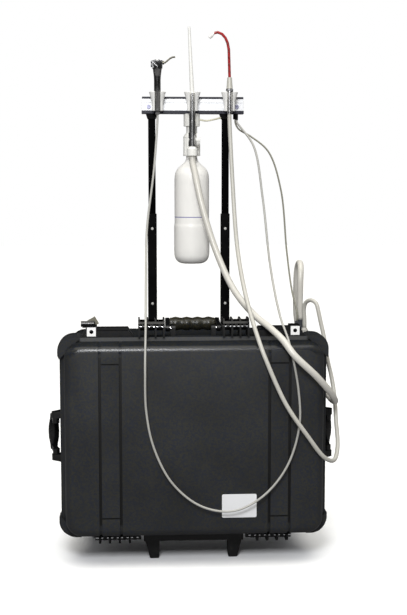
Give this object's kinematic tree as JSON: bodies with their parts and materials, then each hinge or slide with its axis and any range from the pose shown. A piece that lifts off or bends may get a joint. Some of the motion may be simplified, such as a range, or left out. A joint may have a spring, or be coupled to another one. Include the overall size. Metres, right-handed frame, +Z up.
{
  "type": "portable dental unit",
  "caption": "Wheeled black equipment case on end with a telescoping trolley that carries a rail, dental handpieces on hoses and a white water bottle.",
  "frame": {"origin": "on the floor, in the middle of the unit's footprint without its free hoses", "axes": "+Z up; the lid faces -Y; +X to the right of a viewer who faces the lid"},
  "size_m": [0.6637, 0.3742, 1.218],
  "materials": {
    "case": "fine pebble texture, black",
    "case_trim": "black, satin",
    "stand": "black, satin",
    "pin_steel": "bright",
    "trolley_guide": "black",
    "fixed_tube": "black",
    "gland": "dark grey",
    "light_fitting": "light grey",
    "bracket": "dull grey",
    "coupling": "black, satin",
    "panel": "brushed",
    "pump": "cast grey",
    "tank": "satin blue grey",
    "canister": "translucent white",
    "inlet": "black",
    "gauge": "white dial in a pale case",
    "knob": "black",
    "rocker": "red",
    "seal": "black",
    "plate_steel": "stainless",
    "latch": "black, satin",
    "handle": "black, satin",
    "grip": "dull black",
    "wheel": "black",
    "sleeve": "black, satin",
    "rivet": "white",
    "upper_tube": "black, satin",
    "rail_black": "black",
    "rail": "pale anodised",
    "bolt": "socket head",
    "holder": "white",
    "cap": "white",
    "bottle": "translucent white",
    "chrome": "polished",
    "button": "black",
    "instrument": "satin",
    "tip": "white",
    "ring": "knurled",
    "adapter": "grey",
    "red_tube": "red",
    "pale_hose": "pale grey",
    "olive_hose": "olive grey",
    "grey_hose": "warm grey",
    "air_line": "clear, yellowed"
  },
  "bodies": {
    "case": {"base_shell": "case", "stand_feet": "stand", "base_hinge_blocks": "case_trim", "base_lugs": "case_trim", "steel_pins": "pin_steel", "trolley_guides": "trolley_guide", "fixed_tubes": "fixed_tube", "hose_glands": "gland", "saliva_port": "light_fitting", "air_inlet_bracket": "bracket", "air_inlet_coupling": "coupling", "equipment_panel": "panel", "compressor": "pump", "air_tank": "tank", "waste_canister": "canister", "power_inlet": "inlet", "pressure_gauge": "gauge"},
    "lid": {"lid_shell": "case", "lid_seal": "seal", "lid_knuckles": "case_trim", "latch_pivot_pins": "pin_steel", "padlock_plates": "plate_steel"},
    "latch_left": {"latch_left": "latch"},
    "latch_right": {"latch_right": "latch"},
    "front_handle": {"front_handle": "handle", "front_grip": "grip"},
    "side_handle_left": {"side_handle_left": "handle"},
    "side_handle_right": {"side_handle_right": "handle"},
    "wheel_left": {"wheel_left": "wheel"},
    "wheel_right": {"wheel_right": "wheel"},
    "sleeves": {"trolley_sleeves": "sleeve", "sleeve_rivets": "rivet"},
    "trolley_top": {"upper_tubes": "upper_tube", "rail_fittings": "rail_black", "rail": "rail", "rail_strips": "rail_black", "rail_bolts": "bolt", "instrument_holders": "holder", "bottle_head": "cap", "bottle_cap": "cap", "bottle": "bottle", "syringe_body": "chrome", "syringe_nozzle": "chrome", "suction_body": "instrument", "suction_coupler": "cap", "suction_tip": "tip", "saliva_body": "instrument", "saliva_adapter": "adapter", "saliva_tube": "red_tube", "air_line": "air_line", "syringe_hose": "pale_hose", "supply_hose": "olive_hose", "suction_hose": "grey_hose", "saliva_hose": "grey_hose"},
    "air_button": {"air_button": "button"},
    "water_button": {"water_button": "button"},
    "suction_valve": {"suction_valve": "cap"},
    "saliva_valve": {"saliva_valve": "ring"},
    "regulator_knob": {"regulator_knob": "knob"},
    "power_switch": {"power_switch": "rocker"}
  },
  "joints": [
    {"name": "lid_hinge", "type": "hinge", "parent": "case", "child": "lid", "pos_m": [0, -0.09, 0.051], "axis": [1, 0, 0], "range_deg": [0, 100]},
    {"name": "latch_left_hinge", "type": "hinge", "parent": "lid", "child": "latch_left", "pos_m": [-0.0945, -0.107, 0.536], "axis": [1, 0, 0], "range_deg": [0, 90]},
    {"name": "latch_right_hinge", "type": "hinge", "parent": "lid", "child": "latch_right", "pos_m": [0.0945, -0.107, 0.536], "axis": [1, 0, 0], "range_deg": [0, 90]},
    {"name": "front_handle_hinge", "type": "hinge", "parent": "case", "child": "front_handle", "pos_m": [0, -0.08, 0.53], "axis": [1, 0, 0], "range_deg": [0, 100]},
    {"name": "side_handle_left_hinge", "type": "hinge", "parent": "case", "child": "side_handle_left", "pos_m": [-0.312, -0.057, 0.282], "axis": [0, 0, 1], "range_deg": [-10, 80]},
    {"name": "side_handle_right_hinge", "type": "hinge", "parent": "case", "child": "side_handle_right", "pos_m": [0.312, -0.057, 0.282], "axis": [0, 0, -1], "range_deg": [-6, 84]},
    {"name": "wheel_left_spin", "type": "hinge", "parent": "case", "child": "wheel_left", "pos_m": [-0.229, 0.089, 0.045], "axis": [1, 0, 0], "continuous": true},
    {"name": "wheel_right_spin", "type": "hinge", "parent": "case", "child": "wheel_right", "pos_m": [0.229, 0.089, 0.045], "axis": [1, 0, 0], "continuous": true},
    {"name": "trolley_slide", "type": "slide", "parent": "case", "child": "trolley_top", "axis": [0, 0, 1], "range_m": [-0.15, 0], "deforming": ["syringe_hose", "supply_hose", "suction_hose", "saliva_hose"]},
    {"name": "sleeve_slide", "type": "slide", "parent": "case", "child": "sleeves", "axis": [0, 0, 1], "range_m": [-0.05, 0]},
    {"name": "air_button_press", "type": "slide", "parent": "trolley_top", "child": "air_button", "axis": [1, 0, 0], "range_m": [0, 0.0025], "stiffness_N_per_m": 400},
    {"name": "water_button_press", "type": "slide", "parent": "trolley_top", "child": "water_button", "axis": [1, 0, 0], "range_m": [0, 0.0025], "stiffness_N_per_m": 400},
    {"name": "suction_valve_turn", "type": "hinge", "parent": "trolley_top", "child": "suction_valve", "pos_m": [0.007, 0.087, 0.957], "axis": [1, 0, 0], "range_deg": [0, 90]},
    {"name": "saliva_valve_turn", "type": "hinge", "parent": "trolley_top", "child": "saliva_valve", "pos_m": [0.095, 0.087, 1.072], "axis": [0, 0, 1], "range_deg": [0, 90]},
    {"name": "regulator_turn", "type": "hinge", "parent": "case", "child": "regulator_knob", "pos_m": [0.03, -0.042, 0.349], "axis": [0, 1, 0], "range_deg": [-135, 135]},
    {"name": "power_rocker", "type": "hinge", "parent": "case", "child": "power_switch", "pos_m": [-0.204, -0.0405, 0.329], "axis": [1, 0, 0], "range_deg": [0, 15]}
  ],
  "couplings": [
    {"joint": "sleeve_slide", "follows": "trolley_slide", "ratio": 0.33333}
  ]
}
